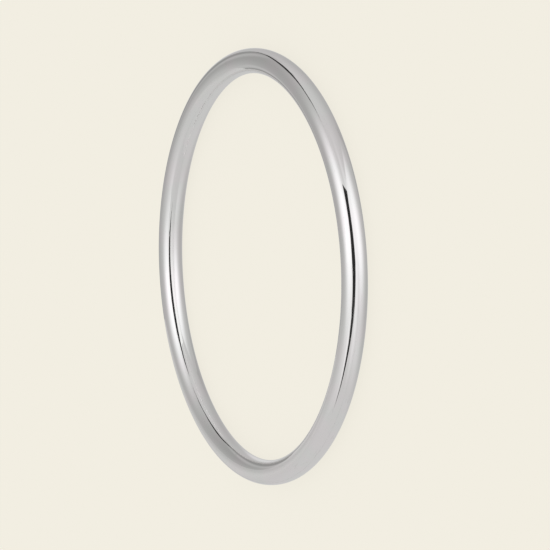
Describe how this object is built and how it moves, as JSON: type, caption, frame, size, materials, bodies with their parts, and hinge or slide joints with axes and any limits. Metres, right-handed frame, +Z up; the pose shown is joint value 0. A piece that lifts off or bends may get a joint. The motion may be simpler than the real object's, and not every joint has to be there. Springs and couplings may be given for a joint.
{
  "type": "bangle bracelet",
  "caption": "Closed round bangle of solid polished silver wire: a plain unbroken ring that slips over the hand and hangs loose on the wrist.",
  "frame": {"origin": "centre of the ring, on the plane that it rests on when it lies flat", "axes": "+Z up along the ring's axis; X and Y lie in the plane it rests on, and any direction there is alike"},
  "size_m": [0.07, 0.07, 0.004],
  "materials": {
    "polished_silver": "mirror-polished silver with fine hairline wear"
  },
  "bodies": {
    "root": {"bangle": "polished_silver"}
  },
  "joints": []
}
